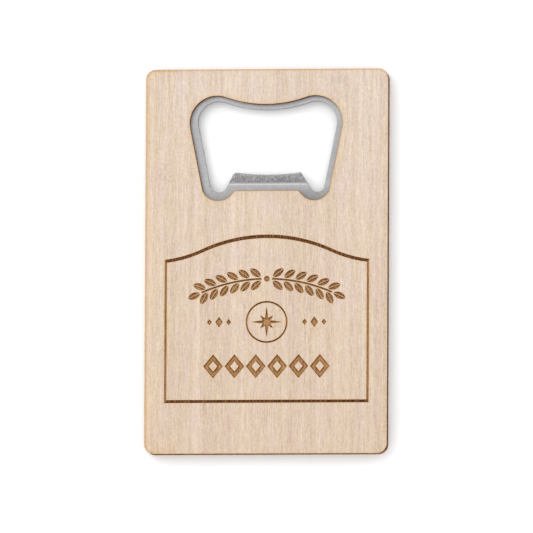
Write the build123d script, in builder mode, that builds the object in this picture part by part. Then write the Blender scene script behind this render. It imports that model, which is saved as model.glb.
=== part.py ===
from build123d import *
import os
from math import atan2, cos, degrees, radians, sin, sqrt, tan

# Card-sized bottle opener: a steel plate with a bent pry tongue, bonded by two adhesive
# films between two laser-cut wooden panels. The front panel is laser engraved.
#
# The card lies on its back panel. X runs across the card, Y along it towards the opening,
# and +Z out of the engraved face. The origin is the centre of the back face. Millimetres.

os.makedirs("parts", exist_ok=True)

# Card
card_width = 54.0
card_length = 85.6
corner_radius = 2.2
panel_thickness = 1.2
film_thickness = 0.1
plate_thickness = 1.0
outer_arris = 0.12  # sanded edge round the outer face of each panel
opening_arris = 0.08  # softened edge round the opening in each panel
plate_setback = 0.15  # the plate's edge stands back from the panels' edge
film_setback = 0.45  # the films stand back from the panels' edges, outside and inside

back_panel_top = panel_thickness
plate_bottom = back_panel_top + film_thickness
plate_top = plate_bottom + plate_thickness
front_panel_bottom = plate_top + film_thickness
card_thickness = front_panel_bottom + panel_thickness

# Opening in the panels: a bulge that hangs from the top, two round lobes, leaning sides,
# and two round feet on either side of a flat-topped land. The land is on the card's middle
# line and the rest of the opening a little to its left.
opening_shift_x = -0.17
bulge_low_y = 34.96
bulge_radius = 26.35
lobe_x = 10.93
lobe_radius = 6.05
side_lean = 11.3  # degrees from the Y axis
foot_y = 13.53
foot_radius = 3.4
land_y = 15.72
land_half_width = 7.1
land_lean = 41.0  # degrees from the Y axis
land_corner_radius = 0.35

# Opening in the plate: the same outline taken in, with its own feet, and punched a little
# to one side of the opening in the panels
plate_inset = 1.49
plate_foot_y = 15.11  # before the shift
plate_shift_x = 0.21
plate_shift_y = 0.39
plate_foot_radius = 1.65
plate_edge_roll = 0.12  # the punch rounds the plate's edge

# Pry tongue: bent towards the front along a fold across the foot of the plate's opening
fold_y = 16.96  # before the shift
tongue_root_half_width = 8.85
tongue_lean = 30.0  # degrees from the Y axis, in plan
bend_angle = 30.0
bend_inner_radius = 0.8
tongue_straight = 1.85  # flat length beyond the bend, at the ends of the tip
tongue_tip_radius = 0.5
tongue_tip_sag = 0.55  # hollow of the tip edge
tongue_bevel_depth = 0.25  # at the tip
tongue_bevel_width = 0.65  # at the tip
tongue_bevel_start = 0.4  # width at the fold

# Engraving on the front panel
engraving_depth = 0.2
engraving_shift_x = 0.17  # the engraving sits a little to the right of the card's middle
border_half_width = 22.5
border_bottom_y = -31.2
border_shoulder_y = 0.04
border_side_line = 0.46
border_end_line = 0.62
ogee_start_slope = 7.0  # degrees, at the border's upper corners
ogee_steepest_slope = 24.7  # degrees, where the ogee changes from hollow to round
ogee_crown_radius = 34.5
garland_radius = 36.3
garland_top_y = -3.95
garland_stem = 0.35
garland_half_angle = 23.5  # degrees
garland_pairs = 6
garland_leaf_length = 2.95
garland_leaf_width = 1.4
garland_leaf_lean = 40.0  # degrees from the stem
garland_leaf_gap = 0.45  # from the stem's centreline to the foot of a leaf
garland_leaf_vein = 0.2
garland_berry_radius = 0.6
ring_y = -13.56
ring_radius = 4.47
ring_line = 0.32
star_long_ray = 3.3
star_short_ray = 2.0
star_valley = 0.9
side_marks_x = 10.6
side_mark_pitch = 2.15
side_mark_half_sizes = ((0.5, 0.65), (0.8, 1.15), (0.5, 0.65))
lozenge_count = 6
lozenge_pitch = 4.75
lozenge_y = -23.4
lozenge_half_width = 2.15
lozenge_half_height = 2.63
lozenge_line = 0.9


def opening_sketch(inset, land_foot, land_corner, feet_radius, corner_round):
    """The opener's opening, taken in by inset. land_foot and land_corner are the ends of the
    land's right flank, as (x, y)."""
    bulge_centre_y = bulge_low_y + bulge_radius
    lobe_y = bulge_centre_y - sqrt((bulge_radius + lobe_radius) ** 2 - lobe_x**2)
    bulge_end = degrees(atan2(lobe_y - bulge_centre_y, lobe_x))
    lobe_turn = 180 + bulge_end + side_lean
    middle = opening_shift_x
    with BuildSketch() as sketch:
        with BuildLine():
            CenterArc(
                (middle, bulge_centre_y),
                bulge_radius + inset,
                -180 - bulge_end,
                180 + 2 * bulge_end,
            )
            right_lobe = CenterArc(
                (middle + lobe_x, lobe_y), lobe_radius - inset, 180 + bulge_end, -lobe_turn
            )
            left_lobe = CenterArc(
                (middle - lobe_x, lobe_y), lobe_radius - inset, -bulge_end, lobe_turn
            )
            side_run = ((right_lobe @ 1).Y - land_foot[1]) * tan(radians(side_lean))
            Polyline(
                right_lobe @ 1,
                ((right_lobe @ 1).X - side_run, land_foot[1]),
                land_foot,
                land_corner,
                (-land_corner[0], land_corner[1]),
                (-land_foot[0], land_foot[1]),
                ((left_lobe @ 1).X + side_run, land_foot[1]),
                left_lobe @ 1,
            )
        make_face()
        feet = sketch.vertices().filter_by_position(
            Axis.Y, land_foot[1] - 0.01, land_foot[1] + 0.01
        )
        fillet(feet, feet_radius)
        if corner_round:
            land_ends = sketch.vertices().filter_by(
                lambda v: abs(v.Y - land_corner[1]) < 0.01
                and abs(abs(v.X) - land_corner[0]) < 0.01
            )
            fillet(land_ends, corner_round)
    return sketch.sketch


def leaf_sketch(length, width, vein):
    """A pointed leaf from the origin along +X, split by its vein."""
    with BuildSketch() as sketch:
        with BuildLine():
            ThreePointArc((0, 0), (length / 2, width / 2), (length, 0))
            ThreePointArc((length, 0), (length / 2, -width / 2), (0, 0))
        make_face()
        with Locations((length / 2, 0)):
            Rectangle(length * 2, vein, mode=Mode.SUBTRACT)
    return sketch.sketch


def diamond_sketch(half_width, half_height):
    """A rhombus on the origin."""
    with BuildSketch() as sketch:
        with BuildLine():
            Polyline(
                (half_width, 0),
                (0, half_height),
                (-half_width, 0),
                (0, -half_height),
                close=True,
            )
        make_face()
    return sketch.sketch


def border_sketch(side_growth, end_growth):
    """A plaque whose top is an ogee arch, taken out from the border's centreline by
    side_growth at the sides and end_growth at the top and bottom."""
    half_width = border_half_width + side_growth
    shoulder_y = border_shoulder_y + end_growth
    bottom_y = border_bottom_y - end_growth
    slope_0, slope_1 = radians(ogee_start_slope), radians(ogee_steepest_slope)
    hollow_run = half_width - ogee_crown_radius * sin(slope_1)
    hollow_radius = hollow_run / (sin(slope_1) - sin(slope_0))
    turn = ogee_steepest_slope - ogee_start_slope
    with BuildSketch() as sketch:
        with BuildLine():
            hollow = JernArc(
                (-half_width, shoulder_y), (cos(slope_0), sin(slope_0)), hollow_radius, turn
            )
            JernArc(hollow @ 1, hollow % 1, ogee_crown_radius, -ogee_steepest_slope)
            Polyline((-half_width, shoulder_y), (-half_width, bottom_y), (0, bottom_y))
            mirror(about=Plane.YZ)
        make_face()
    return sketch.sketch


def garland_sketch():
    """A leafy garland on a shallow arch, its leaves pointing away from the middle."""
    centre_y = garland_top_y - garland_radius
    leaf = leaf_sketch(garland_leaf_length, garland_leaf_width, garland_leaf_vein)
    pair_step = garland_half_angle / garland_pairs
    stem_gap = degrees(2 * garland_berry_radius / garland_radius)
    with BuildSketch() as sketch:
        for side in (-1, 1):
            with BuildLine() as stem:
                CenterArc(
                    (0, centre_y),
                    garland_radius,
                    90 - side * stem_gap,
                    -side * (garland_half_angle - stem_gap),
                )
            trace(stem.line, line_width=garland_stem)
            for pair in range(garland_pairs):
                angle = 90 - side * (pair + 0.55) * pair_step
                heading = angle - side * 90
                for above in (-1, 1):
                    radius = garland_radius + above * garland_leaf_gap
                    foot = (
                        radius * cos(radians(angle)),
                        centre_y + radius * sin(radians(angle)),
                    )
                    turn = heading + side * above * garland_leaf_lean
                    with Locations(Location((*foot, 0), (0, 0, turn))):
                        add(leaf)
            end_angle = 90 - side * (garland_half_angle + stem_gap / 3)
            tip_foot = (
                garland_radius * cos(radians(end_angle)),
                centre_y + garland_radius * sin(radians(end_angle)),
            )
            with Locations(Location((*tip_foot, 0), (0, 0, end_angle - side * 90))):
                add(leaf)
        with Locations((0, garland_top_y)):
            Circle(garland_berry_radius)
    return sketch.sketch


def star_sketch():
    """An eight-pointed compass star on the origin."""
    rays = []
    for step in range(16):
        if step % 2:
            reach = star_valley
        else:
            reach = star_long_ray if step % 4 == 0 else star_short_ray
        angle = radians(90 + step * 22.5)
        rays.append((reach * cos(angle), reach * sin(angle)))
    with BuildSketch() as sketch:
        with BuildLine():
            Polyline(*rays, close=True)
        make_face()
    return sketch.sketch


# Outlines
land_foot_x = land_half_width + (land_y - foot_y) * tan(radians(land_lean))
panel_opening = opening_sketch(
    0.0,
    (land_foot_x, foot_y),
    (land_half_width, land_y),
    foot_radius,
    land_corner_radius,
)

tongue_foot_x = tongue_root_half_width + (fold_y - plate_foot_y) * tan(radians(tongue_lean))
plate_opening = opening_sketch(
    plate_inset,
    (tongue_foot_x, plate_foot_y),
    (tongue_root_half_width, fold_y),
    plate_foot_radius,
    0,
)

# Engraved pattern
with BuildSketch() as engraving:
    add(border_sketch(border_side_line / 2, border_end_line / 2))
    add(border_sketch(-border_side_line / 2, -border_end_line / 2), mode=Mode.SUBTRACT)
    add(garland_sketch())
    with Locations((0, ring_y)):
        Circle(ring_radius + ring_line / 2)
        Circle(ring_radius - ring_line / 2, mode=Mode.SUBTRACT)
        add(star_sketch())
    for side in (-1, 1):
        for place, half_sizes in zip((-1, 0, 1), side_mark_half_sizes):
            with Locations((side * side_marks_x + place * side_mark_pitch, ring_y)):
                add(diamond_sketch(*half_sizes))
    lozenge = diamond_sketch(lozenge_half_width, lozenge_half_height)
    with BuildSketch(mode=Mode.PRIVATE) as lozenge_void:
        add(lozenge)
        offset(amount=-lozenge_line, kind=Kind.INTERSECTION, mode=Mode.REPLACE)
    with Locations((0, lozenge_y)):
        with GridLocations(lozenge_pitch, 1, lozenge_count, 1):
            add(lozenge)
            add(lozenge_void.sketch, mode=Mode.SUBTRACT)

# Back panel: plain wood, with its sanded arris underneath
with BuildPart() as back_panel:
    with BuildSketch():
        RectangleRounded(card_width, card_length, corner_radius)
    extrude(amount=panel_thickness)
    fillet(back_panel.faces().sort_by(Axis.Z)[0].edges(), outer_arris)
    with BuildSketch():
        add(panel_opening)
    extrude(amount=panel_thickness, mode=Mode.SUBTRACT)
    fillet(back_panel.faces().sort_by(Axis.Z)[0].inner_wires().edges(), opening_arris)
back_panel.part.label = "back_panel"

# Front panel: the same panel the other way up, with the engraving cut into it
with BuildPart() as front_panel:
    with BuildSketch(Plane.XY.offset(front_panel_bottom)):
        RectangleRounded(card_width, card_length, corner_radius)
    extrude(amount=panel_thickness)
    fillet(front_panel.faces().sort_by(Axis.Z)[-1].edges(), outer_arris)
    with BuildSketch(Plane.XY.offset(front_panel_bottom)):
        add(panel_opening)
    extrude(amount=panel_thickness, mode=Mode.SUBTRACT)
    fillet(front_panel.faces().sort_by(Axis.Z)[-1].inner_wires().edges(), opening_arris)
    with BuildSketch(Plane.XY.offset(card_thickness)):
        with Locations((engraving_shift_x, 0)):
            add(engraving.sketch)
    extrude(amount=-engraving_depth, mode=Mode.SUBTRACT)
front_panel.part.label = "front_panel"

# Pry tongue, shaped alone and then joined to the plate: bend and flat from the side, sides
# cut in plan, and the hollow tip cut square to the tongue
bend = radians(bend_angle)
bend_outer_radius = bend_inner_radius + plate_thickness


def tongue_half_width(y):
    """Half the tongue's width at y, seen in plan."""
    return tongue_root_half_width - (y - fold_y) * tan(radians(tongue_lean))


bend_centre = (fold_y, plate_top + bend_inner_radius)
tip_allowance = 1.0  # cut away again
with BuildPart() as tongue:
    with BuildSketch(Plane.YZ):
        with BuildLine():
            inner = CenterArc(bend_centre, bend_inner_radius, -90, bend_angle)
            outer = CenterArc(bend_centre, bend_outer_radius, -90, bend_angle)
            upper = PolarLine(inner @ 1, tongue_straight + tip_allowance, bend_angle)
            lower = PolarLine(outer @ 1, tongue_straight + tip_allowance, bend_angle)
            Line(upper @ 1, lower @ 1)
            Line(inner @ 0, outer @ 0)
        make_face()
    extrude(amount=tongue_root_half_width, both=True)
    with BuildSketch(Plane.XY.offset(plate_bottom)):
        with BuildLine():
            far_y = fold_y + 3 * tongue_straight
            Polyline(
                (-tongue_root_half_width, fold_y),
                (tongue_root_half_width, fold_y),
                (tongue_half_width(far_y), far_y),
                (-tongue_half_width(far_y), far_y),
                close=True,
            )
        make_face()
    extrude(amount=card_thickness, mode=Mode.INTERSECT)
    tongue_plane = Plane(
        origin=(0, (inner @ 1).X, (inner @ 1).Y),
        x_dir=(1, 0, 0),
        z_dir=(0, -sin(bend), cos(bend)),
    )
    with BuildSketch(tongue_plane):
        with BuildLine():
            tip_reach = tongue_root_half_width
            tip_radius = (tip_reach**2 + tongue_tip_sag**2) / (2 * tongue_tip_sag)
            ThreePointArc(
                (-tip_reach, tongue_straight + tongue_tip_sag / 2),
                (0, tongue_straight - tongue_tip_sag),
                (tip_reach, tongue_straight + tongue_tip_sag / 2),
            )
            Polyline(
                (tip_reach, tongue_straight + tongue_tip_sag / 2),
                (tip_reach, 3 * tongue_straight),
                (-tip_reach, 3 * tongue_straight),
                (-tip_reach, tongue_straight + tongue_tip_sag / 2),
            )
        make_face()
    extrude(amount=2 * plate_thickness, both=True, mode=Mode.SUBTRACT)
    tip_corners = tongue.edges().filter_by(
        lambda e: abs(e.tangent_at(0.5).dot(tongue_plane.z_dir)) > 0.9
        and e.center().Y > bend_centre[0] + tongue_straight * cos(bend)
    )
    fillet(tip_corners, tongue_tip_radius)
    tip_top = tongue_plane.from_local_coords((0, tongue_straight, 0))
    tip_low = tongue_plane.from_local_coords((0, tongue_straight, -tongue_bevel_depth))
    tip_top_x = tongue_half_width(tip_top.Y) - tongue_bevel_width
    tip_low_x = tongue_half_width(tip_low.Y)
    fold_x = tongue_root_half_width - tongue_bevel_start
    for side in (-1, 1):
        fold_point = Vector(side * fold_x, fold_y, plate_top)
        ridge = Vector(side * tip_top_x, tip_top.Y, tip_top.Z) - fold_point
        drop = Vector(side * tip_low_x, tip_low.Y, tip_low.Z) - fold_point
        bevel = Plane(origin=fold_point, x_dir=ridge, z_dir=drop.cross(ridge) * side)
        split(bisect_by=bevel, keep=Keep.BOTTOM)

# Steel plate
with BuildPart() as steel_plate:
    with BuildSketch(Plane.XY.offset(plate_bottom)):
        RectangleRounded(
            card_width - 2 * plate_setback,
            card_length - 2 * plate_setback,
            corner_radius - plate_setback,
        )
        with Locations((plate_shift_x, plate_shift_y)):
            add(plate_opening, mode=Mode.SUBTRACT)
    extrude(amount=plate_thickness)
    punched_edges = steel_plate.faces().sort_by(Axis.Z)[-1].inner_wires().edges()
    fold_edge = punched_edges.filter_by(Axis.X).sort_by(SortBy.LENGTH)[-1]
    fillet([edge for edge in punched_edges if edge != fold_edge], plate_edge_roll)
    with Locations((plate_shift_x, plate_shift_y, 0)):
        add(tongue.part)
steel_plate.part.label = "steel_plate"

# Adhesive films: full-face transfer adhesive, standing back from every edge of the panels
with BuildSketch() as film_outline:
    RectangleRounded(
        card_width - 2 * film_setback,
        card_length - 2 * film_setback,
        corner_radius - film_setback,
    )
    with BuildSketch(mode=Mode.PRIVATE) as film_opening:
        add(panel_opening)
        offset(amount=film_setback, mode=Mode.REPLACE)
    add(film_opening.sketch, mode=Mode.SUBTRACT)

with BuildPart() as back_film:
    with BuildSketch(Plane.XY.offset(back_panel_top)):
        add(film_outline.sketch)
    extrude(amount=film_thickness)
back_film.part.label = "back_film"

with BuildPart() as front_film:
    with BuildSketch(Plane.XY.offset(plate_top)):
        add(film_outline.sketch)
    extrude(amount=film_thickness)
front_film.part.label = "front_film"

for piece in (back_panel, back_film, steel_plate, front_film, front_panel):
    export_step(piece.part, f"parts/{piece.part.label}.step")
    print(piece.part.label, round(piece.part.volume, 1), len(piece.part.solids()))
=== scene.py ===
"""Looks of the card-shaped bottle opener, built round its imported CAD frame."""

import math

import bpy
import numpy as np
from mathutils import Matrix, Vector, kdtree
from mathutils.geometry import delaunay_2d_cdt


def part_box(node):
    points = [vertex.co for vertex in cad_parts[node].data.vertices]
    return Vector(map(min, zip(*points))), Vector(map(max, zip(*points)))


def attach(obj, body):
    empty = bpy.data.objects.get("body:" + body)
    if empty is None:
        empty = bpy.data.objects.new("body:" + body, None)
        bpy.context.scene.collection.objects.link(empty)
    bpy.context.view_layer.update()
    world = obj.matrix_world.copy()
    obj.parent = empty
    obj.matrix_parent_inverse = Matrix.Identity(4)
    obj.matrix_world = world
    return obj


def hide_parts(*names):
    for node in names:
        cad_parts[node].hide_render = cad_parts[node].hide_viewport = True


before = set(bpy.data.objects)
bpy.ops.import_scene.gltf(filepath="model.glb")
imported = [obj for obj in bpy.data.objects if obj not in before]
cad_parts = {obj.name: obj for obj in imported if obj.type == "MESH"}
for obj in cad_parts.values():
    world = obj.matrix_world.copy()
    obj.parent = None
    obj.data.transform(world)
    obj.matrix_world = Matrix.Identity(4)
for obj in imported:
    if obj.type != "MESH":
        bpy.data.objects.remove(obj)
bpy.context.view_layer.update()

MM = 0.001
SCENE = bpy.context.scene


# ---------------------------------------------------------------- camera and light

FRAME_WIDTH = 0.11808  # metres across the picture, at the card
CAMERA_DISTANCE = 3.2
SENSOR_WIDTH = 36.0
TILT = math.radians(5.8)  # the camera looks from the right and from below by this much
CARD_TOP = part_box("front_panel")[1][2]
AIM = Vector((0.00008, -0.00123, CARD_TOP))

camera_data = bpy.data.cameras.new("camera")
camera_data.sensor_width = SENSOR_WIDTH
camera_data.lens = SENSOR_WIDTH * CAMERA_DISTANCE / FRAME_WIDTH
camera_data.clip_end = 20.0
camera = bpy.data.objects.new("camera", camera_data)
SCENE.collection.objects.link(camera)
SCENE.camera = camera
towards = Vector((math.tan(TILT), -math.tan(TILT), 1.0)).normalized()
right = Vector((0, 1, 0)).cross(towards).normalized()
up = towards.cross(right)
axes = Matrix((right, up, towards)).transposed().to_4x4()
skew = Vector((1, 0, 0)).dot(up) / 2  # shared between the card's long and short edges
camera.matrix_world = (
    Matrix.Translation(AIM + towards * CAMERA_DISTANCE)
    @ axes
    @ Matrix.Rotation(skew, 4, "Z")
)

SCENE.view_settings.view_transform = "Standard"

SKY_STRENGTH = 1.12
SKY_LOW = (0.7, 0.7, 0.71, 1)  # at the horizon and under it
SKY_HIGH = (1.05, 1.05, 1.05, 1)  # overhead
KEY_PLACE = (-0.5, 0.54, 0.6)
KEY_SIZE = 1.15
KEY_WATTS = 4.3

world = bpy.data.worlds.new("studio")
SCENE.world = world
world.use_nodes = True
sky = world.node_tree.nodes
sky.clear()
sky_links = world.node_tree.links
sky_out = sky.new("ShaderNodeOutputWorld")
sky_light = sky.new("ShaderNodeBackground")
sky_light.inputs["Strength"].default_value = SKY_STRENGTH
sky_ramp = sky.new("ShaderNodeValToRGB")
sky_ramp.color_ramp.elements[0].position = 0.0
sky_ramp.color_ramp.elements[0].color = SKY_LOW
sky_ramp.color_ramp.elements[1].position = 0.9
sky_ramp.color_ramp.elements[1].color = SKY_HIGH
sky_split = sky.new("ShaderNodeSeparateXYZ")
sky_place = sky.new("ShaderNodeTexCoord")
sky_links.new(sky_place.outputs["Generated"], sky_split.inputs[0])
sky_links.new(sky_split.outputs["Z"], sky_ramp.inputs["Fac"])
sky_links.new(sky_ramp.outputs["Color"], sky_light.inputs["Color"])
sky_links.new(sky_light.outputs[0], sky_out.inputs["Surface"])

softbox = bpy.data.lights.new("key_softbox", "AREA")
softbox.shape = "SQUARE"
softbox.size = KEY_SIZE
softbox.energy = KEY_WATTS
key = bpy.data.objects.new("key_softbox", softbox)
SCENE.collection.objects.link(key)
key.location = KEY_PLACE
key.rotation_euler = (-Vector(KEY_PLACE)).to_track_quat("-Z", "Y").to_euler()


# ---------------------------------------------------------------- materials


class Nodes:
    """Builds one material's node tree."""

    def __init__(self, name):
        self.material = bpy.data.materials.new(name)
        self.material.use_nodes = True
        self.tree = self.material.node_tree
        self.tree.nodes.clear()
        out = self.tree.nodes.new("ShaderNodeOutputMaterial")
        self.shader = self.tree.nodes.new("ShaderNodeBsdfPrincipled")
        self.tree.links.new(self.shader.outputs[0], out.inputs["Surface"])
        self.place = self.tree.nodes.new("ShaderNodeTexCoord").outputs["Object"]

    def put(self, value, socket):
        """Link a socket, or set a constant."""
        if isinstance(value, bpy.types.NodeSocket):
            self.tree.links.new(value, socket)
        else:
            socket.default_value = value

    def attribute(self, name):
        node = self.tree.nodes.new("ShaderNodeAttribute")
        node.attribute_name = name
        return node.outputs["Fac"]

    def math(self, operation, a, b=0.0, c=0.0, clamp=False):
        node = self.tree.nodes.new("ShaderNodeMath")
        node.operation = operation
        node.use_clamp = clamp
        for value, socket in zip((a, b, c), node.inputs):
            self.put(value, socket)
        return node.outputs[0]

    def blend(self, *shares):
        """The sum of values, each times its weight: shares are (value, weight)."""
        total = 0.0
        for value, weight in shares:
            total = self.math("MULTIPLY_ADD", value, weight, total)
        return total

    def noise(self, scale, detail, roughness, offset=(0, 0, 0), distortion=0.0):
        """Noise at scale features per metre along each axis."""
        move = self.tree.nodes.new("ShaderNodeMapping")
        move.inputs["Scale"].default_value = scale
        move.inputs["Location"].default_value = offset
        self.put(self.place, move.inputs["Vector"])
        node = self.tree.nodes.new("ShaderNodeTexNoise")
        node.inputs["Scale"].default_value = 1.0
        node.inputs["Detail"].default_value = detail
        node.inputs["Roughness"].default_value = roughness
        node.inputs["Distortion"].default_value = distortion
        self.put(move.outputs[0], node.inputs["Vector"])
        return node.outputs["Fac"]

    def ramp(self, value, stops):
        """Colours by value: stops are (position, (r, g, b))."""
        node = self.tree.nodes.new("ShaderNodeValToRGB")
        elements = node.color_ramp.elements
        while len(elements) < len(stops):
            elements.new(0.5)
        for element, (position, colour) in zip(elements, stops):
            element.position = position
            element.color = (*colour, 1.0)
        self.put(value, node.inputs["Fac"])
        return node.outputs["Color"]

    def spread(self, value, low, high, to_low=0.0, to_high=1.0):
        """value remapped from low..high, held at the ends."""
        node = self.tree.nodes.new("ShaderNodeMapRange")
        for item, socket in zip((value, low, high, to_low, to_high), node.inputs):
            self.put(item, socket)
        return node.outputs["Result"]

    def mix(self, factor, a, b, blend="MIX"):
        node = self.tree.nodes.new("ShaderNodeMix")
        node.data_type = "RGBA"
        node.blend_type = blend
        self.put(factor, node.inputs["Factor"])
        self.put(a, node.inputs[6])
        self.put(b, node.inputs[7])
        return node.outputs[2]

    def bump(self, height, distance, strength):
        node = self.tree.nodes.new("ShaderNodeBump")
        node.inputs["Distance"].default_value = distance
        node.inputs["Strength"].default_value = strength
        self.put(height, node.inputs["Height"])
        self.put(node.outputs[0], self.shader.inputs["Normal"])

    def xyz(self):
        node = self.tree.nodes.new("ShaderNodeSeparateXYZ")
        self.put(self.place, node.inputs[0])
        return node.outputs


MAPLE = [
    (0.0, (0.49, 0.37, 0.265)),
    (0.35, (0.565, 0.446, 0.336)),
    (0.65, (0.614, 0.495, 0.388)),
    (1.0, (0.68, 0.563, 0.455)),
]
PALER_UP_THE_CARD = (1.035, 1.075, 1.155, 1)
YELLOW_CAST = (1.0, 0.99, 0.92, 1)
PINK_CAST = (0.998, 0.967, 1.01, 1)
# Browning of the wood by laser burn and by painted shade, from none to the most
BURN_AND_SHADE_TONES = [
    (0.0, (1.0, 1.0, 1.0)),
    (0.1, (0.99, 0.94, 0.83)),
    (0.25, (0.88, 0.72, 0.49)),
    (0.45, (0.67, 0.45, 0.22)),
    (0.65, (0.31, 0.155, 0.065)),
    (0.85, (0.12, 0.052, 0.02)),
    (1.0, (0.045, 0.02, 0.01)),
]


def wood_material(name, seed):
    """Bare maple, its grain along Y, browned by the laser and darkened by painted shade by
    the amount the mesh holds at each point.
    """
    n = Nodes(name)
    fibre = n.noise((3600, 240, 900), 3.0, 0.65, (seed, 0, 0))
    thread = n.noise((1300, 18, 700), 2.0, 0.55, (0, seed, 0))
    band = n.noise((260, 5, 120), 2.0, 0.5, (seed, seed, 0), 0.3)
    hue = n.noise((560, 110, 90), 2.0, 0.6, (0, seed, seed))
    fleck = n.noise((3800, 1700, 900), 2.0, 0.6, (seed, 0, seed))
    tone = n.blend((fibre, 0.5), (thread, 0.24), (band, 0.22), (fleck, 0.44))
    wood = n.ramp(n.spread(tone, 0.55, 0.85), MAPLE)
    up_the_card = n.spread(n.xyz()[1], -0.035, 0.045)
    wood = n.mix(up_the_card, wood, PALER_UP_THE_CARD, "MULTIPLY")
    cast = n.mix(n.spread(hue, 0.32, 0.68), YELLOW_CAST, PINK_CAST)
    wood = n.mix(1.0, wood, cast, "MULTIPLY")

    # Laser burn from the mesh, with painted shade in it
    burn_and_shade = n.attribute("burn_and_shade")
    speckle = n.noise((3000, 3000, 300), 3.0, 0.65, (seed, 0, 0))
    ragged = n.blend((speckle, 0.5), (fibre, 0.5))
    swing = n.math("MULTIPLY", n.math("SUBTRACT", ragged, 0.5), 2.6)
    reach = n.math("MULTIPLY", burn_and_shade, n.math("ADD", swing, 1.0), clamp=True)
    colour = n.mix(1.0, wood, n.ramp(reach, BURN_AND_SHADE_TONES), "MULTIPLY")
    n.put(colour, n.shader.inputs["Base Color"])
    n.put(n.spread(burn_and_shade, 0.0, 1.0, 0.58, 0.86), n.shader.inputs["Roughness"])
    n.shader.inputs["Specular IOR Level"].default_value = 0.15
    charred = n.math("MULTIPLY", ragged, reach)
    n.bump(n.blend((thread, 0.4), (fibre, 0.6), (charred, 2.2)), 0.00003, 0.5)
    return n.material


# Where the steel changes, in metres: heights first, then places along and across the card
PLATE_BOTTOM, PLATE_TOP = 0.0013, 0.0023
FEET_LOW_Y, LOBES_HIGH_Y = 0.0135, 0.0341
FEET_LEFT_X, FEET_RIGHT_X = -0.012, 0.012
FOLD_Y = 0.01722
FOLD_MIDDLE_X = 0.00021
FOLD_HALF_LENGTH = 0.0087

# Painted shade and reflection on the steel, from the opening's feet up to its lobes, along
# its left and right sides: darkest at the feet beside the wood wall
STEEL_SHADE_AT_LEFT = [
    (0.0, (0.68, 0.665, 0.66)),
    (0.096, (0.86, 0.85, 0.84)),
    (0.175, (0.93, 0.93, 0.93)),
    (0.25, (0.93, 0.93, 0.93)),
    (0.8, (0.93, 0.93, 0.93)),
    (1.0, (1.0, 1.0, 1.0)),
]
STEEL_SHADE_AT_RIGHT = [
    (0.0, (0.5, 0.485, 0.47)),
    (0.096, (0.72, 0.705, 0.69)),
    (0.175, (0.93, 0.93, 0.93)),
    (0.25, (0.85, 0.845, 0.84)),
    (0.8, (0.85, 0.845, 0.84)),
    (1.0, (1.0, 1.0, 1.0)),
]
# How the painted shade on the steel goes from its left ramp to its right one, across the card
LEFT_TO_RIGHT = [(0.0, (0, 0, 0)), (0.85, (1, 1, 1)), (1.0, (0.7, 0.7, 0.7))]


def steel_material():
    """Satin stainless steel: dull punched edges, a highlight painted along the fold, painted
    shade by the opening's feet and sides, and a tongue mottled where the press coined it."""
    n = Nodes("steel_satin")
    x, y, z = n.xyz()
    grain = n.noise((4200, 4200, 4200), 3.0, 0.65)
    patch = n.noise((420, 420, 420), 3.0, 0.6)
    streak = n.noise((3400, 1500, 1500), 3.0, 0.7)
    base = n.mix(
        n.spread(n.blend((patch, 0.3), (grain, 0.7)), 0.3, 0.7),
        (0.315, 0.311, 0.317, 1),
        (0.5, 0.494, 0.504, 1),
    )
    # Painted shade: darker at the opening's feet beside the wood wall and along the ring's
    # sides
    up_the_card = n.spread(y, FEET_LOW_Y, LOBES_HIGH_Y)
    painted_shade = n.mix(
        n.ramp(n.spread(x, FEET_LEFT_X, FEET_RIGHT_X), LEFT_TO_RIGHT),
        n.ramp(up_the_card, STEEL_SHADE_AT_LEFT),
        n.ramp(up_the_card, STEEL_SHADE_AT_RIGHT),
    )
    base = n.mix(1.0, base, painted_shade, "MULTIPLY")
    sheared = n.math(
        "MULTIPLY",
        n.spread(z, PLATE_BOTTOM + 0.00003, PLATE_BOTTOM + 0.00007),
        n.spread(z, PLATE_TOP - 0.00018, PLATE_TOP - 0.0001, 1.0, 0.0),
    )
    base = n.mix(sheared, base, (0.25, 0.248, 0.25, 1))
    from_fold = n.math("ABSOLUTE", n.math("SUBTRACT", y, FOLD_Y))
    from_middle = n.math("ABSOLUTE", n.math("SUBTRACT", x, FOLD_MIDDLE_X))
    # A highlight painted along the fold
    fold_highlight = n.math(
        "MULTIPLY",
        n.spread(from_fold, 0.00005, 0.00022, 1.0, 0.0),
        n.math("LESS_THAN", from_middle, FOLD_HALF_LENGTH),
    )
    base = n.mix(fold_highlight, base, (0.52, 0.51, 0.51, 1))
    coined = n.mix(
        n.spread(streak, 0.32, 0.68), (0.158, 0.155, 0.155, 1), (0.545, 0.535, 0.535, 1)
    )
    on_tongue = n.spread(z, PLATE_TOP + 0.00002, PLATE_TOP + 0.00014)
    base = n.mix(on_tongue, base, coined)
    n.put(base, n.shader.inputs["Base Color"])
    n.shader.inputs["Metallic"].default_value = 1.0
    n.put(n.spread(patch, 0.3, 0.7, 0.38, 0.46), n.shader.inputs["Roughness"])
    mottled = n.math("MULTIPLY", streak, on_tongue)
    n.bump(n.blend((grain, 1.0), (mottled, 2.0)), 0.00001, 0.35)
    return n.material


def film_material():
    """Amber transfer adhesive, seen only at its edges."""
    n = Nodes("adhesive_amber")
    cloud = n.noise((900, 900, 900), 3.0, 0.6)
    n.put(
        n.mix(cloud, (0.42, 0.33, 0.22, 1), (0.62, 0.53, 0.4, 1)),
        n.shader.inputs["Base Color"],
    )
    n.put(n.spread(cloud, 0.3, 0.7, 0.35, 0.55), n.shader.inputs["Roughness"])
    n.bump(cloud, 0.00001, 0.3)
    return n.material


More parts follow.
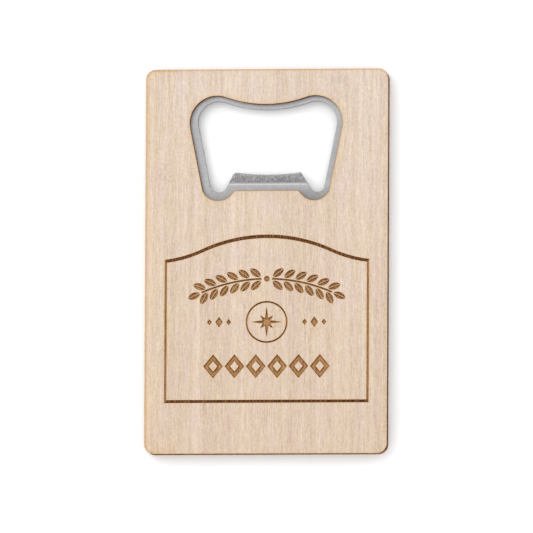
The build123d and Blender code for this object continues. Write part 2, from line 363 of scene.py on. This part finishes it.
def paper_material():
    """White studio paper, with a little light of its own so that its shadows stay pale."""
    n = Nodes("paper_white")
    n.shader.inputs["Base Color"].default_value = (0.98, 0.98, 0.98, 1)
    n.shader.inputs["Roughness"].default_value = 0.9
    n.shader.inputs["Specular IOR Level"].default_value = 0.1
    n.shader.inputs["Emission Color"].default_value = (0.9, 0.95, 1.0, 1)
    n.shader.inputs["Emission Strength"].default_value = 0.025
    return n.material


# ---------------------------------------------------------------- outlines, in millimetres

SHARP_TURN = math.radians(28)  # corners that turn more than this stay sharp
STRAIGHT_RUN = 2.5  # a chord this many times its neighbour's length is a straight run


def flat_loops(node, level):
    """The outlines of a CAD node's flat faces at a height given in metres."""
    mesh = node.data
    key = [tuple(round(c, 7) for c in v.co) for v in mesh.vertices]
    uses = {}
    for face in mesh.polygons:
        corners = [key[i] for i in face.vertices]
        if any(abs(c[2] - level) > 1e-6 for c in corners):
            continue
        for a, b in zip(corners, corners[1:] + corners[:1]):
            a, b = a[:2], b[:2]
            if uses.pop((b, a), None) is None:
                uses[(a, b)] = True
    follow = {}
    for a, b in uses:
        follow.setdefault(a, []).append(b)
    loops = []
    while follow:
        start = next(iter(follow))
        loop = [start]
        while True:
            options = follow[loop[-1]]
            step = options.pop()
            if not options:
                del follow[loop[-1]]
            if step == start:
                break
            loop.append(step)
        loops.append(np.array(loop) / MM)
    return loops


def area(loop):
    """Positive where the loop runs anticlockwise."""
    x, y = loop[:, 0], loop[:, 1]
    return 0.5 * float(np.sum(x * np.roll(y, -1) - np.roll(x, -1) * y))


def anticlockwise(loop):
    return loop if area(loop) > 0 else loop[::-1]


def resample(loop, spacing):
    """A loop with its curves rounded between the CAD's points, and points at most spacing
    apart. Sharp corners and straight runs stay as they are."""
    count = len(loop)
    chord = np.roll(loop, -1, axis=0) - loop
    length = np.linalg.norm(chord, axis=1)
    way = chord / length[:, None]
    leave, arrive = way.copy(), way.copy()
    for i in range(count):
        before, after = way[i - 1], way[i]
        turn = math.acos(max(-1.0, min(1.0, float(before @ after))))
        if turn > SHARP_TURN:
            continue
        if length[i - 1] > STRAIGHT_RUN * length[i]:
            tangent = before
        elif length[i] > STRAIGHT_RUN * length[i - 1]:
            tangent = after
        else:
            tangent = before * length[i] + after * length[i - 1]
            tangent = tangent / np.linalg.norm(tangent)
        leave[i] = tangent
        arrive[i - 1] = tangent
    points = []
    for i in range(count):
        p, q = loop[i], loop[(i + 1) % count]
        steps = max(1, math.ceil(length[i] / spacing))
        for k in range(steps):
            t = k / steps
            points.append(
                p * (2 * t**3 - 3 * t**2 + 1)
                + leave[i] * length[i] * (t**3 - 2 * t**2 + t)
                + q * (3 * t**2 - 2 * t**3)
                + arrive[i] * length[i] * (t**3 - t**2)
            )
    return np.array(points)


def left_normals(loop):
    """Unit normals to the left of a loop's direction, averaged at each point."""
    chord = np.roll(loop, -1, axis=0) - loop
    way = chord / np.linalg.norm(chord, axis=1)[:, None]
    both = way + np.roll(way, 1, axis=0)
    both /= np.linalg.norm(both, axis=1)[:, None]
    return np.stack((-both[:, 1], both[:, 0]), axis=1)


def nearest(points):
    """A lookup of the nearest of some points: its place, its index and how far it is."""
    tree = kdtree.KDTree(len(points))
    for i, p in enumerate(points):
        tree.insert((p[0], p[1], 0.0), i)
    tree.balance()
    return lambda p: tree.find((p[0], p[1], 0.0))


# ---------------------------------------------------------------- wooden panels

OUTLINE_SPACING = 0.35
MARK_SPACING = 0.22
WALL_STEPS = 4
ARRIS_STEPS = 4

# Distances of the extra rows of points beside each kind of outline, and the open grid
EDGE_ROWS = (0.15, 0.3, 0.45, 1.0)
RIM_ROWS = (0.12, 0.3, 0.6, 1.1, 1.8)
MARK_ROWS = (0.13, 0.27)
ROW_CLEARANCE = 0.11
GRID_PITCH = 0.95
GRID_STAGGER = 0.4
GRID_CLEARANCE = 0.4
GRID_REACH = (29, 46)  # steps from the middle, across and along

# How far the laser burnt the wood, from 0 to 1, with painted light and shade added on the
# outer walls
RIM_CHAR = 0.86
EDGE_CHAR = 0.66
EDGE_WALL_SHADE_TURN = 0.06  # painted shade on the outer walls to the right and above, painted light on the others
MIDDLE_OF_WALL = 0.08  # less than at the wall's ends
RIM_ARRIS = (0.8, 0.68, 0.5, 0.28)
EDGE_ARRIS = (0.5, 0.12, 0.03, 0.02)
SMOKED_ARRIS = (0.0, 0.24, 0.26, 0.24)  # added where the edge is smoked
LINE_WORK_SIZE = 8.5  # marks at least this big both ways are the border and the ring


def smoked(x, y):
    """How much the cut smoked the face beside an outer edge: most at the upper edge, some
    at the left one."""
    return np.maximum(0.6 * (x < -25.0), 1.0 * (y > 40.8))


def build_panel(name, node_name, glued, visible, depth, material):
    """A wooden panel as a fine mesh: the CAD node's outlines with their curves rounded,
    softened edges, engraved recesses, and an amount of laser burn and painted shade at
    every point. glued and visible are the heights of its two faces, in metres, and depth
    that of its recesses."""
    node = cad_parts[node_name]
    outward = 1 if visible > glued else -1
    walls = sorted(flat_loops(node, glued), key=lambda p: -abs(area(p)))
    face = sorted(flat_loops(node, visible), key=lambda p: -abs(area(p)))
    opening_top = walls[1][:, 1].max()
    rim = min(range(1, len(face)), key=lambda i: abs(face[i][:, 1].max() - opening_top))
    edge_round = float(walls[0][:, 0].max() - face[0][:, 0].max())
    rim_round = float(face[rim][:, 0].max() - walls[1][:, 0].max())
    top, bottom = visible / MM, glued / MM

    points, burns_and_shades, faces = [], [], []

    def ring(xy, z, burn_and_shade):
        start = len(points)
        points.extend((p[0], p[1], z) for p in xy)
        burns_and_shades.extend(burn_and_shade)
        return list(range(start, start + len(xy)))

    def band(lower, upper, flip):
        count = len(lower)
        for i in range(count):
            j = (i + 1) % count
            quad = (lower[i], lower[j], upper[j], upper[i])
            faces.append(quad[::-1] if flip else quad)

    def side(loop, radius, inner):
        """The wall along an outline and the arris above it. Returns its lowest and highest
        rings."""
        loop = anticlockwise(resample(loop, OUTLINE_SPACING))
        into = -left_normals(loop) if inner else left_normals(loop)
        wall_top = top - outward * radius
        if inner:
            wall_burn_and_shade = np.full(len(loop), RIM_CHAR)
            arris = [np.full(len(loop), burn_and_shade) for burn_and_shade in RIM_ARRIS]
        else:
            # Laser burn on the outer walls, with painted shade on those to the right and
            # above and painted light on the others
            wall_burn_and_shade = EDGE_CHAR + EDGE_WALL_SHADE_TURN * np.sign(loop @ (1, 0.63))
            smoke = smoked(loop[:, 0], loop[:, 1])
            arris = [burn_and_shade + smoke * more for burn_and_shade, more in zip(EDGE_ARRIS, SMOKED_ARRIS)]
        rings = [
            ring(
                loop,
                bottom + (wall_top - bottom) * k / WALL_STEPS,
                wall_burn_and_shade - MIDDLE_OF_WALL * (k in (1, 2)),
            )
            for k in range(WALL_STEPS + 1)
        ]
        for k in range(1, ARRIS_STEPS + 1):
            angle = math.radians(90 * k / ARRIS_STEPS)
            rings.append(
                ring(
                    loop + into * radius * (1 - math.cos(angle)),
                    wall_top + outward * radius * math.sin(angle),
                    arris[k - 1],
                )
            )
        for lower, upper in zip(rings, rings[1:]):
            band(lower, upper, inner != (outward < 0))
        return rings[0], rings[-1]

    edge_low, edge_high = side(walls[0], edge_round, False)
    rim_low, rim_high = side(walls[1], rim_round, True)

    edge_xy = np.array([points[i][:2] for i in edge_high])
    rim_xy = np.array([points[i][:2] for i in rim_high])
    marks = [resample(loop, MARK_SPACING) for i, loop in enumerate(face) if i not in (0, rim)]
    nearest_edge, nearest_rim = nearest(edge_xy), nearest(rim_xy)
    if marks:
        nearest_mark = nearest(np.concatenate(marks))
        levelness = abs(np.concatenate([left_normals(m) for m in marks])[:, 1])
        line_work = [np.ptp(m, axis=0).min() > LINE_WORK_SIZE for m in marks for _ in m]

    def is_clear(p, gap):
        """Whether p is further than gap from every outline."""
        return (
            nearest_edge(p)[2] > gap
            and nearest_rim(p)[2] > gap
            and (not marks or nearest_mark(p)[2] > gap)
        )

    def burn_and_shade_at(p, sunken):
        """The laser burn of a point on the visible face, or on a recess's floor, with painted
        shade on the floors.
        """
        rim_gap, edge_gap = nearest_rim(p)[2], nearest_edge(p)[2]
        scorch = 0.16 * math.exp(-rim_gap / 0.1) + 0.12 * math.exp(-rim_gap / 0.45)
        scorch += (
            0.04 * math.exp(-edge_gap / 0.6)
            + 0.16 * float(smoked(p[0], p[1])) / (1 + math.exp((edge_gap - 0.3) / 0.05))
            + 0.13 * (p[0] < -20) * math.exp(-edge_gap / 1.2)
        )
        if not marks:
            return scorch
        spot, i, gap = nearest_mark(p)
        if not sunken:
            return max(scorch, 0.34 * math.exp(-gap / 0.06))
        # On the border and the ring the floor is darker along level outlines: partly the
        # laser's raster, partly painted shade
        if line_work[i]:
            return 0.5 + 0.27 * levelness[i]
        # Elsewhere the floor is charred at its outlines, with painted shadow just below a
        # stroke's upper wall; level outlines get more, partly from the laser's raster and
        # partly as painted shade
        shadowed_below_wall = 1.0 if spot[1] > p[1] else 0.2
        return 0.39 + 0.64 * math.exp(-gap / 0.2) * (0.5 + 0.5 * levelness[i] * shadowed_below_wall)

    def inner_points():
        """Points inside the visible face: rows beside the outlines, then an open grid."""
        beside = [(edge_xy, 1, EDGE_ROWS), (rim_xy, -1, RIM_ROWS)]
        beside += [(mark, way, MARK_ROWS) for mark in marks for way in (1, -1)]
        rows = []
        for loop, way, steps in beside:
            outline = anticlockwise(loop)
            normal = left_normals(outline)
            for step in steps:
                rows.extend(outline + normal * step * way)
        inside = [p for p in rows if is_clear(p, ROW_CLEARANCE)]
        for ix in range(-GRID_REACH[0], GRID_REACH[0] + 1):
            for iy in range(-GRID_REACH[1], GRID_REACH[1] + 1):
                p = (ix * GRID_PITCH + GRID_STAGGER * (iy % 2), iy * GRID_PITCH)
                if is_clear(p, GRID_CLEARANCE):
                    inside.append(p)
        return inside

    def fill(level, rings, marks, inside):
        """Triangles across the panel at a level, between its outer ring and its opening's,
        sunk inside the marks, and the walls of the marks."""
        flat, polygons = [], []
        for loop in [[points[i][:2] for i in r] for r in rings] + marks:
            polygons.append(list(range(len(flat), len(flat) + len(loop))))
            flat.extend(Vector(p) for p in loop)
        flat.extend(Vector(p) for p in inside)
        verts, _, tris, origins, _, owners = delaunay_2d_cdt(flat, [], polygons, 0, 1e-5)
        known = dict(enumerate(rings[0] + rings[1]))
        upper, lower = {}, {}
        sunk = level - outward * depth

        def vertex(table, i, z):
            if i not in table:
                for source in origins[i]:
                    if source in known and z == level:
                        table[i] = known[source]
                        return table[i]
                p = verts[i]
                points.append((p[0], p[1], z))
                burns_and_shades.append(burn_and_shade_at(p, z != level) if level == top else 0.0)
                table[i] = len(points) - 1
            return table[i]

        up = (level == top) == (outward > 0)
        cut = {}
        for tri, owner in zip(tris, owners):
            if 0 not in owner or 1 in owner:
                continue
            if sum(1 for o in owner if o > 1) % 2:
                corners = [vertex(lower, i, sunk) for i in tri]
                for a, b in zip(tri, tri[1:] + tri[:1]):
                    if cut.pop((b, a), None) is None:
                        cut[(a, b)] = True
            else:
                corners = [vertex(upper, i, level) for i in tri]
            faces.append(tuple(corners) if up else tuple(corners[::-1]))
        for a, b in cut:
            faces.append(
                (
                    vertex(lower, b, sunk),
                    vertex(lower, a, sunk),
                    vertex(upper, a, level),
                    vertex(upper, b, level),
                )
            )

    fill(top, (edge_high, rim_high), marks, inner_points())
    fill(bottom, (edge_low, rim_low), [], [])

    mesh = bpy.data.meshes.new(name)
    mesh.from_pydata([(x * MM, y * MM, z * MM) for x, y, z in points], [], faces)
    mesh.validate()
    # The laser burn at each point, with the painted shade of the recess floors and outer
    # walls in it
    layer = mesh.attributes.new("burn_and_shade", "FLOAT", "POINT")
    layer.data.foreach_set("value", burns_and_shades)
    mesh.materials.append(material)
    mesh.polygons.foreach_set("use_smooth", [True] * len(mesh.polygons))
    mesh.set_sharp_from_angle(angle=math.radians(40))
    panel = bpy.data.objects.new(name, mesh)
    SCENE.collection.objects.link(panel)
    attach(panel, "root")
    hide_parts(node_name)


ENGRAVING_DEPTH = 0.2

front_low, front_high = (corner[2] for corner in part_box("front_panel"))
build_panel(
    "engraved_panel", "front_panel", front_low, front_high, ENGRAVING_DEPTH,
    wood_material("maple_engraved", 3.1),
)
back_low, back_high = (corner[2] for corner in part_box("back_panel"))
build_panel(
    "plain_panel", "back_panel", back_high, back_low, 0.0,
    wood_material("maple_plain", 7.7),
)

# ---------------------------------------------------------------- steel and films

steel = steel_material()
film = film_material()
for node_name, material in (
    ("steel_plate", steel),
    ("front_film", film),
    ("back_film", film),
):
    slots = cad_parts[node_name].data.materials
    slots[0] = material

# ---------------------------------------------------------------- floor

FLOOR_REACH = 1.5
FLOOR_Z = -2e-5  # just under the card

floor_mesh = bpy.data.meshes.new("floor")
floor_mesh.from_pydata(
    [
        (x * FLOOR_REACH, y * FLOOR_REACH, FLOOR_Z)
        for x, y in ((-1, -1), (1, -1), (1, 1), (-1, 1))
    ],
    [],
    [(0, 1, 2, 3)],
)
floor = bpy.data.objects.new("floor", floor_mesh)
SCENE.collection.objects.link(floor)
floor_mesh.materials.append(paper_material())
